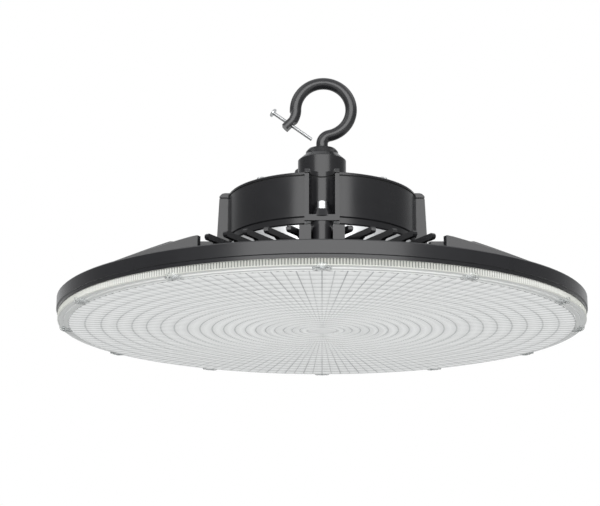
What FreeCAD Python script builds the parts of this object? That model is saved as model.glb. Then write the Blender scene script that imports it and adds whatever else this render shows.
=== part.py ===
"""Suspended high bay light: a cast heat sink carries the LED board and the lens below, and above it
the driver base, the driver housing with its cover, and a ring hook that hangs the lamp.

Millimetres. +Z is up and the lamp's axis is the Z axis. The origin is at the middle of the lens face.
The front faces -Y, and seen from there the hook's mouth is on the left.
"""
import FreeCAD, Part
import math
import os
import re
import Sketcher

doc = FreeCAD.newDocument("high_bay_light")
sheet = doc.addObject("Spreadsheet::Sheet", "dims")

DIMENSIONS = [
    # rim and base plate of the heat sink
    ("rim_radius", 195, "outer radius of the cast rim"),
    ("rim_height", 12, "height of the rim wall"),
    ("rim_wall", 5.5, "thickness of the rim wall above the base plate"),
    ("rim_lip", 0.8, "inset of the lip along the rim's lower edge"),
    ("rim_lip_height", 2.4, "height of that lip"),
    ("land_width", 15, "flat land under the rim that the lens seats on"),
    ("base_thickness", 6, "cast base plate behind the LED board"),
    ("board_recess", 4, "depth of the recess for the LED board"),
    ("wire_hole", 8, "radius of the hole for the LED leads"),
    # cooling fins
    ("fin_top", 41, "height of the fins' flat tops"),
    ("fin_reach", 148, "radius where the fin tops start to fall"),
    ("fin_foot_radius", 189, "radius where the side fins meet the rim"),
    ("fin_foot", 21, "height of the side fins at the rim"),
    ("fin_thickness", 3, "thickness of a fin"),
    ("fin_pitch", 16, "spacing of the fins"),
    ("fin_angle", 30, "slant of the front and back fins from the middle plane"),
    ("slant_pitch", 14.5, "spacing of the slanted fins"),
    ("side_start", 11.7, "distance of the side fins' boundary from the slanted middle line"),
    ("slant_shift", 2.5, "offset of the outermost slanted fin from that line"),
    ("tip_depth", 4, "height of a slanted fin's free tip"),
    ("tip_length", 13, "length of the free tip"),
    ("tip_overhang", 26, "how far a slanted fin overhangs its foot"),
    ("hub_radius", 80, "outer radius of the hub wall"),
    ("hub_bore", 56, "inner radius of the hub wall"),
    ("pier_width", 30, "width of the front and back piers"),
    ("post_radius", 6.3, "radius of the screw post in a pier"),
    ("post_gap", 0.9, "air gap round the post"),
    ("post_bore", 2.5, "radius of the post's tapped hole"),
    # lens
    ("lens_depth", 7, "overall depth of the lens"),
    ("lens_wall", 3, "wall of the moulded lens"),
    ("lens_face", 186, "radius of the flat lens face"),
    ("lens_margin", 1, "gap between lens edge and rim edge"),
    ("lens_flange", 4.9, "thickness of the lens flange"),
    ("lens_step", 1.1, "height of the small step round the face"),
    ("lens_pocket", 179, "inner radius of the lens"),
    ("lens_screw_circle", 188.4, "pitch radius of the lens screws"),
    ("lens_boss", 5, "radius of a screw boss at the flange"),
    ("lens_boss_tip", 4.2, "radius of a screw boss at its tip"),
    ("lens_boss_drop", 0.6, "height of the boss tips above the face"),
    ("lens_head", 3.3, "head radius of a lens screw"),
    ("lens_head_height", 2.2, "head height of a lens screw"),
    ("lens_shank", 1.9, "shank radius of a lens screw"),
    ("lens_shank_length", 9, "shank length of a lens screw"),
    ("seal_radius", 181.4, "inner radius of the lens seal"),
    ("seal_width", 2.2, "width of the lens seal"),
    ("seal_depth", 1.5, "depth of the seal groove"),
    # LED board
    ("board_radius", 172, "radius of the LED board"),
    ("board_thickness", 1.6, "thickness of the LED board"),
    ("led_size", 3, "side of an LED package"),
    ("led_height", 0.7, "height of an LED package"),
    ("led_first", 30, "radius of the inner ring of LEDs"),
    ("led_step", 25, "spacing of the rings of LEDs"),
    ("board_screw_circle", 142.5, "pitch radius of the board screws"),
    ("board_head", 2.8, "head radius of a board screw"),
    ("board_head_height", 1.8, "head height of a board screw"),
    ("board_shank", 1.45, "shank radius of a board screw"),
    ("board_shank_length", 5.6, "shank length of a board screw"),
    ("plug_length", 12, "length of the lead connector"),
    ("plug_width", 7, "width of the lead connector"),
    ("plug_height", 4, "height of the lead connector"),
    ("plug_place", 17, "distance of the connector from the axis"),
    # driver base
    ("neck_radius", 70, "outer radius of the driver base"),
    ("neck_bore", 58, "inner radius of the driver base"),
    ("neck_height", 22, "height of the driver base"),
    ("pillar_radius", 8, "radius of the heat sink's pillars for the cap screws"),
    ("neck_seal_radius", 59.6, "inner radius of the two base seals"),
    ("neck_seal_width", 2.4, "width of those seals"),
    # driver housing
    ("case_radius", 71.5, "outer radius of the driver housing"),
    ("case_wall", 4, "wall of the driver housing"),
    ("case_floor", 5, "floor of the driver housing"),
    ("case_height", 35.7, "height of the driver housing"),
    ("case_step", 0.9, "inset of the band round the housing's foot"),
    ("channel_radius", 9.25, "half width of a screw channel"),
    ("channel_circle", 75, "distance of the channel's centre from the axis"),
    ("rib_thickness", 3.1, "thickness of the ribs beside a channel"),
    ("rib_reach", 78.5, "outer radius of the ribs at their foot"),
    ("rib_draft", 1.5, "how much the ribs draw in towards the top"),
    ("rib_depth", 17, "depth of the ribs and the wall behind a channel"),
    ("foot_radius", 8, "radius of the cone under a cap screw"),
    ("foot_tip", 6, "radius of that cone at its top"),
    ("foot_height", 4.8, "height of that cone"),
    ("cap_circle", 71.5, "pitch radius of the cap screws"),
    ("cap_head", 5.2, "head radius of a cap screw"),
    ("cap_head_height", 6, "head height of a cap screw"),
    ("cap_shank", 3, "shank radius of a cap screw"),
    ("cap_shank_length", 50, "shank length of a cap screw"),
    ("cap_socket", 2.6, "radius of the head's socket"),
    ("cap_socket_depth", 3, "depth of that socket"),
    # cover
    ("cover_gap", 1.1, "thickness of the cover gasket"),
    ("cover_edge", 2, "thickness of the cover at its edge"),
    ("cover_crown", 1.4, "rise of the cover inside its edge"),
    ("crown_radius", 66.5, "radius where that rise ends"),
    ("ear_round", 4, "rounding of the cover's ears over the ribs"),
    ("cover_screw_circle", 62, "pitch radius of the cover screws"),
    ("cover_post", 6, "radius of the posts for the cover screws"),
    ("cover_head", 4, "head radius of a cover screw"),
    ("cover_head_height", 2.4, "head height of a cover screw"),
    ("cover_shank", 2, "shank radius of a cover screw"),
    ("cover_shank_length", 12, "shank length of a cover screw"),
    # driver
    ("driver_radius", 54, "radius of the potted driver"),
    ("driver_height", 18, "height of the potted driver"),
    ("driver_flange", 3, "thickness of the driver's flange"),
    ("driver_can", 42, "radius of the driver's can"),
    ("driver_recess", 14, "radius of the recess under the driver"),
    ("driver_screw_circle", 48, "pitch radius of the driver screws"),
    ("terminal_length", 34, "length of the terminal block"),
    ("terminal_width", 12, "width of the terminal block"),
    ("terminal_height", 9, "height of the terminal block"),
    ("terminal_place", 26, "distance of the terminal block from the axis"),
    ("grommet_radius", 11, "flange radius of the lead grommet"),
    ("grommet_flange", 1.5, "thickness of the grommet's flanges"),
    ("grommet_bore", 4, "bore of the grommet"),
    # hook and its base
    ("knuckle_radius", 18.35, "radius of the hook base"),
    ("knuckle_height", 39, "height of the hook base"),
    ("knuckle_shoulder", 29.5, "height where the cone starts"),
    ("knuckle_neck", 12.65, "radius above the cone"),
    ("knuckle_tip", 7.4, "radius of the top face"),
    ("shank_radius", 4.5, "radius of the hook's shank"),
    ("loop_radius", 21.4, "radius of the hook's loop, to the middle of the rod"),
    ("loop_offset", 1, "sideways offset of the loop from the axis"),
    ("loop_height", 31.5, "height of the loop's centre above the hook base"),
    ("lead_height", 4, "straight part of the shank above the hook base"),
    ("tip_bend", 16, "radius of the outward bend at the hook's end"),
    ("tip_turn", 45, "angle of that bend"),
    ("tip_straight", 5, "straight part at the hook's end"),
    ("tip_flat", 5.4, "thickness of the flattened end"),
    ("thread_below", 11, "length of the shank below the cover"),
    ("fit_gap", 0.3, "running clearance between round parts"),
    ("nut_flats", 16, "width across flats of the hook nut"),
    ("nut_height", 8, "height of the hook nut"),
    ("washer_radius", 10, "radius of the hook washer"),
    ("washer_thickness", 2, "thickness of the hook washer"),
    ("latch_radius", 1.4, "radius of the latch screw"),
    ("latch_length", 36, "length of the latch screw under its head"),
    ("latch_head", 3.6, "head radius of the latch screw"),
    ("latch_head_height", 2, "head height of the latch screw"),
    ("latch_slope", 36, "slope of the latch screw"),
    ("latch_outside", 15, "length of the latch screw outside the hook's end"),
    # cable gland
    ("gland_x", -12, "sideways place of the cable gland"),
    ("gland_y", 31, "place of the cable gland behind the hook base"),
    ("gland_thread", 10, "radius of the gland's thread"),
    ("gland_thread_length", 9, "length of thread below the cover"),
    ("gland_flats", 24, "width across flats of the gland"),
    ("gland_body_height", 10, "height of the gland's hexagon"),
    ("gland_collar", 8, "height of the collar inside the dome nut"),
    ("gland_nut_height", 22, "height of the dome nut"),
    ("gland_nut_radius", 11.4, "radius of the dome nut"),
    ("gland_bore", 5, "radius of the cord hole"),
    ("gland_seal_wall", 2.2, "wall of the gland's rubber seal"),
    ("locknut_height", 4, "height of the gland's locknut"),
]
ALIASES = {name for name, _, _ in DIMENSIONS}
for row, (name, value, meaning) in enumerate(DIMENSIONS, 1):
    sheet.set(f"A{row}", meaning)
    sheet.set(f"B{row}", str(value))
    sheet.setAlias(f"B{row}", name)
doc.recompute()

# Heights that several pieces share, worked out from the driving dimensions.
BOARD_BACK = "(lens_depth + board_recess)"
BASE_TOP = f"({BOARD_BACK} + base_thickness)"
NECK_TOP = "(fin_top + neck_height)"
CASE_DECK = f"({NECK_TOP} + case_floor)"
CASE_TOP = f"({NECK_TOP} + case_height)"
COVER_UNDER = f"({CASE_TOP} + cover_gap)"
COVER_RIM = f"({COVER_UNDER} + cover_edge)"
COVER_TOP = f"({COVER_RIM} + cover_crown)"
CAP_SEAT = f"({CASE_DECK} + foot_height)"
KNUCKLE_TOP = f"({COVER_TOP} + knuckle_height)"
QUARTERS = (0, 90, 180, 270)

pieces = []


def formula(text):
    """The spreadsheet form of a formula that is written with plain dimension names."""
    return re.sub(r"[a-z_]+", lambda word: "dims." + word[0] if word[0] in ALIASES else word[0], str(text))


def value_of(text):
    return float(sheet.evalExpression(formula(text)))


def bind(thing, **formulas):
    for name, text in formulas.items():
        thing.setExpression(name, formula(text))


def place(thing, x="0", y="0", z="0"):
    for axis, text in (("x", x), ("y", y), ("z", z)):
        thing.setExpression("Placement.Base." + axis, formula(text))
    return thing


def cylinder(label, radius, height, x="0", y="0", z="0"):
    thing = doc.addObject("Part::Cylinder", label)
    bind(thing, Radius=radius, Height=height)
    return place(thing, x, y, z)


def cone(label, lower, upper, height, x="0", y="0", z="0"):
    thing = doc.addObject("Part::Cone", label)
    bind(thing, Radius1=lower, Radius2=upper, Height=height)
    return place(thing, x, y, z)


def hexagon(label, flats, height, x="0", y="0", z="0"):
    thing = doc.addObject("Part::Prism", label)
    thing.Polygon = 6
    bind(thing, Circumradius=f"{flats} / 2 / cos(30)", Height=height)
    return place(thing, x, y, z)


def block(label, length, width, height, x="0", y="0", z="0"):
    """A box centred on x and y, standing on z."""
    thing = doc.addObject("Part::Box", label)
    bind(thing, Length=length, Width=width, Height=height)
    return place(thing, f"{x} - ({length}) / 2", f"{y} - ({width}) / 2", z)


def around(make, label, count, circle, start=0, **sizes):
    """The same primitive at equal steps round the lamp's axis."""
    found = []
    for step in range(count):
        angle = start + 360 * step / count
        spot = {"x": f"({circle}) * cos({angle})", "y": f"({circle}) * sin({angle})"}
        found.append(make(f"{label}_{step}", **spot, **sizes))
    return found


def joined(label, things):
    thing = doc.addObject("Part::MultiFuse", label)
    thing.Shapes = things
    return thing


def shared(label, things):
    thing = doc.addObject("Part::MultiCommon", label)
    thing.Shapes = things
    return thing


def grouped(label, things):
    thing = doc.addObject("Part::Compound", label)
    thing.Links = things
    return thing


def cut(label, base, tools):
    thing = doc.addObject("Part::Cut", label)
    thing.Base = base
    thing.Tool = tools[0] if len(tools) == 1 else joined(label + "_tools", tools)
    return thing


def keep(thing, label):
    """Marks a finished piece, whose label names its file."""
    thing.Label = label
    pieces.append(thing)
    return thing


def sketch(body, name, role, points):
    """A closed outline on one of the body's own planes, each corner held by two formulas."""
    outline = body.newObject("Sketcher::SketchObject", name)
    plane = [item for item in body.Origin.OriginFeatures if item.Role == role][0]
    outline.AttachmentSupport = [(plane, "")]
    outline.MapMode = "FlatFace"
    corners = [FreeCAD.Vector(value_of(x), value_of(y), 0) for x, y in points]
    count = len(points)
    for k in range(count):
        outline.addGeometry(Part.LineSegment(corners[k], corners[(k + 1) % count]))
    for k in range(count):
        outline.addConstraint(Sketcher.Constraint("Coincident", k, 2, (k + 1) % count, 1))
    for k, (x, y) in enumerate(points):
        for kind, text, start in (("DistanceX", x, corners[k].x), ("DistanceY", y, corners[k].y)):
            index = outline.addConstraint(Sketcher.Constraint(kind, k, 1, start))
            outline.renameConstraint(index, f"{kind}{k}")
            outline.setExpression(f"Constraints.{kind}{k}", formula(text))
    return outline


def new_body(name):
    body = doc.addObject("PartDesign::Body", name)
    body.AllowCompound = True
    return body


def turned(name, points):
    """A profile of radius and height, revolved about the lamp's axis."""
    body = new_body(name)
    outline = sketch(body, name + "_profile", "XZ_Plane", points)
    turn = body.newObject("PartDesign::Revolution", name + "_turn")
    turn.Profile = outline
    turn.ReferenceAxis = (outline, ["V_Axis"])
    turn.Angle = 360
    return body


def turned_at(name, centre, points, count=1, start=0):
    """A small turned piece whose own axis stands at a distance from the lamp's, repeated round it."""
    body = new_body(name)
    moved = [(f"{centre} + {x}", y) for x, y in points]
    outline = sketch(body, name + "_profile", "XZ_Plane", moved)
    axis = outline.addGeometry(Part.LineSegment(FreeCAD.Vector(value_of(centre), -5, 0),
                                                FreeCAD.Vector(value_of(centre), -4, 0)), True)
    outline.addConstraint(Sketcher.Constraint("Vertical", axis))
    outline.addConstraint(Sketcher.Constraint("DistanceY", axis, 1, -5.0))
    outline.addConstraint(Sketcher.Constraint("DistanceY", axis, 2, -4.0))
    held = outline.addConstraint(Sketcher.Constraint("DistanceX", axis, 1, value_of(centre)))
    outline.renameConstraint(held, "axis_place")
    outline.setExpression("Constraints.axis_place", formula(centre))
    turn = body.newObject("PartDesign::Revolution", name + "_turn")
    turn.Profile = outline
    turn.ReferenceAxis = (outline, ["Axis0"])
    turn.Angle = 360
    if count > 1:
        repeat(body, name, turn, count)
    body.Placement = FreeCAD.Placement(FreeCAD.Vector(), FreeCAD.Rotation(FreeCAD.Vector(0, 0, 1), start))
    return body


def repeat(body, name, feature, count):
    pattern = body.newObject("PartDesign::PolarPattern", name + "_round")
    pattern.Originals = [feature]
    axis = [item for item in body.Origin.OriginFeatures if item.Role == "Z_Axis"][0]
    pattern.Axis = (axis, [""])
    pattern.Angle = 360
    pattern.Occurrences = count
    body.Tip = pattern


def padded(name, role, points, length, both_ways=False):
    """An outline pushed out to a length."""
    body = new_body(name)
    pad = body.newObject("PartDesign::Pad", name + "_pad")
    pad.Profile = sketch(body, name + "_outline", role, points)
    bind(pad, Length=length)
    if both_ways:
        pad.SideType = "Symmetric"
    return body


def rectangle(left, right, low, high):
    return [(left, low), (right, low), (right, high), (left, high)]


# ---- heat sink: one casting with the rim, base plate, hub, fins and piers ----

def sink_plate():
    """Rim, lens land with its seal groove, base plate and hub wall, turned in one profile."""
    land = "rim_radius - land_width"
    groove_out = "seal_radius + seal_width"
    rim_top = "lens_depth + rim_height"
    lip_top = "lens_depth + rim_lip_height"
    return turned("sink_plate", [
        ("wire_hole", BOARD_BACK), (land, BOARD_BACK), (land, "lens_depth"),
        ("seal_radius", "lens_depth"), ("seal_radius", "lens_depth + seal_depth"),
        (groove_out, "lens_depth + seal_depth"), (groove_out, "lens_depth"),
        ("rim_radius - rim_lip", "lens_depth"), ("rim_radius - rim_lip", lip_top),
        ("rim_radius", f"{lip_top} + rim_lip / 2"),
        ("rim_radius", f"{rim_top} - rim_lip"), ("rim_radius - rim_lip", rim_top),
        ("rim_radius - rim_wall", rim_top), ("rim_radius - rim_wall", BASE_TOP),
        ("hub_radius", BASE_TOP), ("hub_radius", "fin_top"), ("hub_bore", "fin_top"),
        ("hub_bore", BASE_TOP), ("wire_hole", BASE_TOP)])


def fin_row(name, left, right, first, count, pitch="fin_pitch"):
    """A row of upright plates that lie along X, the first one with its near face at a given Y."""
    body = new_body(name)
    pad = body.newObject("PartDesign::Pad", name + "_pad")
    pad.Profile = sketch(body, name + "_outline", "XY_Plane",
                         rectangle(left, right, first, f"{first} + fin_thickness"))
    bind(pad, Length="fin_top")
    row = body.newObject("PartDesign::LinearPattern", name + "_row")
    row.Originals = [pad]
    row.Direction = ([item for item in body.Origin.OriginFeatures if item.Role == "Y_Axis"][0], [""])
    bind(row, Length=f"{pitch} * {count - 1}")
    row.Occurrences = count
    body.Tip = row
    return body


def side_fins():
    """Parallel fins on the left and right, whose tops slope down to the rim."""
    foot_end = "rim_radius - rim_wall + 1"
    rows = fin_row("side_fin_stock", "-rim_radius", "rim_radius", "-fin_pitch * 7.5 - fin_thickness / 2", 16)
    slope = turned("side_fin_slope", [
        ("hub_radius - 1", f"{BASE_TOP} - 1"), (foot_end, f"{BASE_TOP} - 1"),
        (foot_end, "fin_foot - 1"), ("fin_foot_radius", "fin_foot"),
        ("fin_reach", "fin_top"), ("hub_radius - 1", "fin_top")])
    near = "side_start / cos(fin_angle)"
    fields = []
    for name, side in (("right", 1), ("left", -1)):
        far = f"({near} + rim_radius * tan(fin_angle)) * {side}"
        edge = f"(rim_radius + 5) * {side}"
        fields.append(padded(f"side_field_{name}", "XY_Plane", [
            (f"{near} * {side}", "0"), (far, "rim_radius"), (edge, "rim_radius"),
            (edge, "-rim_radius"), (far, "-rim_radius")], "fin_top + 5"))
    return shared("side_fins", [rows, slope, joined("side_fields", fields)])


def slanted_fins():
    """Fins that slant away from the front and back piers and end in free tips over the base plate."""
    reach = "fin_reach"
    tip_under = "fin_top - tip_depth"
    overhang = turned("slanted_fin_slope", [
        ("hub_radius - 1", f"{BASE_TOP} - 1"), (f"{reach} - tip_overhang", f"{BASE_TOP} - 1"),
        (f"{reach} - tip_overhang", f"{BASE_TOP} + 5"),
        (f"{reach} - (tip_overhang + tip_length) / 2 - 3", f"{tip_under} - 4"),
        (f"{reach} - tip_length", tip_under), (f"{reach} - 1.2", tip_under), (reach, f"{tip_under} + 1.2"),
        (reach, "fin_top - 1.2"), (f"{reach} - 1.2", "fin_top"), ("hub_radius - 1", "fin_top")])
    quarters = []
    for name, side, turn in (("front_left", 1, 0), ("front_right", -1, 0),
                             ("back_right", 1, 180), ("back_left", -1, 180)):
        # local X runs outwards along the fin; side 1 slants to -X as seen from the front
        low = "-slant_shift - fin_thickness" if side > 0 else "slant_shift - fin_thickness - slant_pitch * 4"
        stock = fin_row(f"slanted_stock_{name}", "0", "rim_radius", low, 5, "slant_pitch")
        angle = turn - 90 - side * value_of("fin_angle")
        stock.Placement = FreeCAD.Placement(FreeCAD.Vector(), FreeCAD.Rotation(FreeCAD.Vector(0, 0, 1), angle))
        stock.setExpression("Placement.Rotation.Angle", formula(f"{turn - 90} - ({side}) * fin_angle"))
        outer = -side if turn == 0 else side
        near = f"({outer}) * (pier_width / 2 - 1)"
        far = f"({outer}) * rim_radius"
        field = padded(f"slanted_field_{name}", "XY_Plane", [
            (near, "-rim_radius"), (near, "rim_radius"), (far, "rim_radius"), (far, "-rim_radius")],
            "fin_top + 5")
        quarters.append(shared(f"slanted_fins_{name}", [stock, overhang, field]))
    return quarters


def piers():
    """Front and back blocks, each with a screw post standing in an open round channel."""
    found = []
    depth = "fin_reach - hub_radius + 2"
    for name, side in (("front", -1), ("back", 1)):
        middle = f"({side}) * (fin_reach - ({depth}) / 2)"
        post_y = f"({side}) * (fin_reach - post_radius)"
        mouth_y = f"({side}) * (fin_reach - post_radius / 2 + 1)"
        body = block(f"pier_{name}", "pier_width", depth, f"fin_top - {BASE_TOP} + 1", "0", middle,
                     f"{BASE_TOP} - 1")
        well = cylinder(f"pier_well_{name}", "post_radius + post_gap", "fin_top", "0", post_y, BASE_TOP)
        mouth = block(f"pier_mouth_{name}", "2 * (post_radius + post_gap)", "post_radius + 2", "fin_top",
                      "0", mouth_y, BASE_TOP)
        post = cylinder(f"pier_post_{name}", "post_radius", f"fin_top - {BASE_TOP} + 1.5", "0", post_y,
                        f"{BASE_TOP} - 1")
        bore = cylinder(f"pier_bore_{name}", "post_bore", "14", "0", post_y, "fin_top - 12")
        found += [cut(f"pier_body_{name}", body, [well, mouth]), cut(f"pier_screw_post_{name}", post, [bore])]
    return found


def heat_sink():
    pillars = around(cylinder, "pillar", 4, "cap_circle", radius="pillar_radius",
                     height=f"{NECK_TOP} - {BASE_TOP}", z=BASE_TOP)
    cast = joined("sink_casting", [sink_plate(), side_fins()] + slanted_fins() + piers() + pillars)
    holes = around(cylinder, "lens_thread", 12, "lens_screw_circle", radius="lens_shank + fit_gap",
                   height="lens_shank_length", z="lens_depth - 1")
    holes += around(cylinder, "board_thread", 8, "board_screw_circle", 22.5, radius="board_shank + fit_gap",
                    height="board_shank_length + 0.4", z=f"{BOARD_BACK} - 1")
    holes += around(cylinder, "cap_thread", 4, "cap_circle", radius="cap_shank + fit_gap",
                    height="cap_shank_length", z=f"{CAP_SEAT} - cap_shank_length - 1")
    return keep(cut("sink_finished", cast, holes), "heat_sink")


# ---- lens, its seal and screws ----

def lens():
    """Moulded tray: flat face, stepped edge, thick flange with a screw boss at every twelfth."""
    under = "lens_depth - lens_flange"
    edge = "rim_radius - lens_margin"
    tray = turned("lens_tray", [
        ("0", "0"), ("lens_face", "0"), ("lens_face + 0.6", "lens_step"),
        ("lens_face + 3", "lens_step"), ("lens_face + 3.6", under), (edge, under),
        (edge, "lens_depth"), ("lens_pocket", "lens_depth"), ("lens_pocket", "lens_wall"), ("0", "lens_wall")])
    seat = "lens_boss_drop + lens_head_height + fit_gap"
    bosses = around(cone, "lens_boss", 12, "lens_screw_circle", lower="lens_boss_tip", upper="lens_boss",
                    height="lens_depth - lens_boss_drop", z="lens_boss_drop")
    wells = around(cylinder, "lens_well", 12, "lens_screw_circle", radius="lens_head + fit_gap",
                   height=f"{seat} + 1", z="-1")
    bores = around(cylinder, "lens_bore", 12, "lens_screw_circle", radius="lens_shank + fit_gap",
                   height="lens_depth + 2", z="-1")
    return keep(cut("lens_finished", joined("lens_blank", [tray] + bosses), wells + bores), "lens")


def screws(label, circle, seat, head, head_height, shank, shank_length, count, start=0, side=1,
           socket=None):
    """Pan-head screws round the lamp's axis; side 1 has the heads on top of the seat, -1 below it."""
    outer = f"{seat} + ({side}) * {head_height}"
    inner = f"{seat} - ({side}) * {shank_length}"
    soft = f"{seat} + ({side}) * {head_height} * 0.6"
    top = [("0", outer)]
    if socket:
        radius, depth = socket
        top = [("0", f"{outer} - ({side}) * {depth}"), (radius, f"{outer} - ({side}) * {depth}"), (radius, outer)]
    return turned_at(label, circle, top + [
        (f"{head} * 0.8", outer), (head, soft), (head, seat), (shank, seat), (shank, inner), ("0", inner)],
        count, start)


def lens_screws():
    return keep(screws("lens_screw", "lens_screw_circle", "(lens_boss_drop + lens_head_height + fit_gap)",
                       "lens_head", "lens_head_height", "lens_shank", "lens_shank_length", 12, 0, -1),
                "lens_screws")


def seal_ring(name, inner, width, low, height, play="0"):
    """A flat ring, or with play the rubber that lies in it."""
    return turned(name, rectangle(f"{inner} + {play}", f"{inner} + {width} - {play}", low, f"{low} + {height}"))


def lens_seal():
    return keep(seal_ring("lens_seal_ring", "seal_radius", "seal_width", "lens_depth", "seal_depth",
                          "fit_gap"), "lens_seal")


# ---- LED board ----

def led_board():
    """Aluminium-backed disc under the base plate, with holes for its screws and leads."""
    front = f"({BOARD_BACK} - board_thickness)"
    disc = turned("board_disc", rectangle("wire_hole", "board_radius", front, BOARD_BACK))
    holes = around(cylinder, "board_hole", 8, "board_screw_circle", 22.5, radius="board_shank + fit_gap",
                   height="board_thickness + 2", z=f"{front} - 1")
    return keep(cut("board_finished", disc, holes), "led_board")


def led_packages():
    """Six rings of square LEDs on the board's lower face."""
    rings = []
    for ring, count in enumerate((12, 18, 24, 30, 36, 48)):
        body = new_body(f"led_ring_{ring}")
        radius = f"led_first + led_step * {ring}"
        pad = body.newObject("PartDesign::Pad", f"led_pad_{ring}")
        pad.Profile = sketch(body, f"led_outline_{ring}", "XY_Plane", rectangle(
            f"{radius} - led_size / 2", f"{radius} + led_size / 2", "-led_size / 2", "led_size / 2"))
        bind(pad, Length="led_height")
        repeat(body, f"led_{ring}", pad, count)
        place(body, z=f"{BOARD_BACK} - board_thickness - led_height")
        rings.append(body)
    return keep(grouped("led_rings", rings), "led_packages")


def board_screws():
    return keep(screws("board_screw", "board_screw_circle", f"({BOARD_BACK} - board_thickness)", "board_head",
                       "board_head_height", "board_shank", "board_shank_length", 8, 22.5, -1), "board_screws")


def lead_connector():
    return keep(block("connector_block", "plug_width", "plug_length", "plug_height", "plug_place", "0",
                      f"{BOARD_BACK} - board_thickness - plug_height"), "lead_connector")


# ---- driver base ----

def driver_base():
    """Bare aluminium ring that carries the housing clear of the fins, notched round the four pillars."""
    groove_out = "neck_seal_radius + neck_seal_width"
    ring = turned("neck_ring", [
        ("neck_bore", "fin_top"), ("neck_seal_radius", "fin_top"), ("neck_seal_radius", "fin_top + seal_depth"),
        (groove_out, "fin_top + seal_depth"), (groove_out, "fin_top"), ("neck_radius", "fin_top"),
        ("neck_radius", NECK_TOP), (groove_out, NECK_TOP), (groove_out, f"{NECK_TOP} - seal_depth"),
        ("neck_seal_radius", f"{NECK_TOP} - seal_depth"), ("neck_seal_radius", NECK_TOP), ("neck_bore", NECK_TOP)])
    notches = around(cylinder, "neck_notch", 4, "cap_circle", radius="pillar_radius + fit_gap",
                     height="neck_height + 2", z="fin_top - 1")
    return keep(cut("neck_finished", ring, notches), "driver_base")


def base_seals():
    rings = [seal_ring(f"base_seal_{end}", "neck_seal_radius", "neck_seal_width", low, "seal_depth", "fit_gap")
             for end, low in (("low", "fin_top"), ("high", f"{NECK_TOP} - seal_depth"))]
    return keep(grouped("base_seal_pair", rings), "base_seals")


# ---- driver housing ----

def channels(name, low, extra="0"):
    """The four open screw channels, as solids to cut away: round at the back and open outwards."""
    found = []
    radius = f"(channel_radius + {extra})"
    for step, angle in enumerate(QUARTERS):
        x, y = round(math.cos(math.radians(angle))), round(math.sin(math.radians(angle)))
        found.append(cylinder(f"{name}_round_{step}", radius, "case_height * 2", f"channel_circle * ({x})",
                              f"channel_circle * ({y})", low))
        across = f"abs({x}) * 20 + abs({y}) * 2 * {radius}"
        along = f"abs({y}) * 20 + abs({x}) * 2 * {radius}"
        found.append(block(f"{name}_mouth_{step}", across, along, "case_height * 2",
                           f"(channel_circle + 10) * ({x})", f"(channel_circle + 10) * ({y})", low))
    return found


def rib_blocks():
    """Four walls that hold the channels, their two ribs drawing in towards the top."""
    top_out = "rib_reach - rib_draft"
    found = []
    for step, angle in enumerate(QUARTERS):
        body = padded(f"rib_block_{step}", "XZ_Plane", [
            ("rib_reach - rib_depth", NECK_TOP), ("rib_reach - 0.6", NECK_TOP), ("rib_reach", f"{NECK_TOP} + 0.6"),
            (top_out, CASE_TOP), ("rib_reach - rib_depth", CASE_TOP)], "2 * (channel_radius + rib_thickness)", both_ways=True)
        body.Placement = FreeCAD.Placement(FreeCAD.Vector(), FreeCAD.Rotation(FreeCAD.Vector(0, 0, 1), angle))
        found.append(body)
    return found


def driver_housing():
    foot = "case_radius - case_step"
    inside = "case_radius - case_wall"
    shell = turned("case_shell", [
        ("wire_hole", NECK_TOP), (f"{foot} - 1", NECK_TOP), (foot, f"{NECK_TOP} + 1"), (foot, CASE_DECK),
        ("case_radius", f"{CASE_DECK} + case_step"), ("case_radius", CASE_TOP), (inside, CASE_TOP),
        (inside, CASE_DECK), ("wire_hole", CASE_DECK)])
    posts = around(cylinder, "cover_post", 4, "cover_screw_circle", 45, radius="cover_post",
                   height=f"{CASE_TOP} - {CASE_DECK} + 1", z=f"{CASE_DECK} - 1")
    blank = cut("case_channelled", joined("case_blank", [shell] + rib_blocks() + posts),
                channels("case_channel", CASE_DECK))
    cones = around(cone, "cap_foot", 4, "cap_circle", lower="foot_radius", upper="foot_tip",
                   height="foot_height + 1", z=f"{CASE_DECK} - 1")
    holes = around(cylinder, "case_cap_bore", 4, "cap_circle", radius="cap_shank + fit_gap",
                   height="case_height", z=f"{NECK_TOP} - 1")
    holes += around(cylinder, "cover_thread", 4, "cover_screw_circle", 45, radius="cover_shank + fit_gap",
                    height="cover_shank_length", z=f"{COVER_TOP} - cover_shank_length - 1")
    holes += around(cylinder, "driver_thread", 4, "driver_screw_circle", 45, radius="cover_shank + fit_gap",
                    height="case_floor", z=f"{NECK_TOP} + 1")
    return keep(cut("case_finished", joined("case_cones", [blank] + cones), holes), "driver_housing")


def housing_screws():
    return keep(screws("cap_screw", "cap_circle", CAP_SEAT, "cap_head", "cap_head_height", "cap_shank",
                       "cap_shank_length", 4, socket=("cap_socket", "cap_socket_depth")), "housing_screws")


def lead_grommet():
    lip = "grommet_flange"
    return keep(turned("grommet_body", [
        ("grommet_bore", f"{NECK_TOP} - {lip}"), ("grommet_radius", f"{NECK_TOP} - {lip}"),
        ("grommet_radius", NECK_TOP), ("wire_hole", NECK_TOP), ("wire_hole", CASE_DECK),
        ("grommet_radius", CASE_DECK), ("grommet_radius", f"{CASE_DECK} + {lip}"),
        ("grommet_bore", f"{CASE_DECK} + {lip}")]), "lead_grommet")


# ---- driver ----

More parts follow.
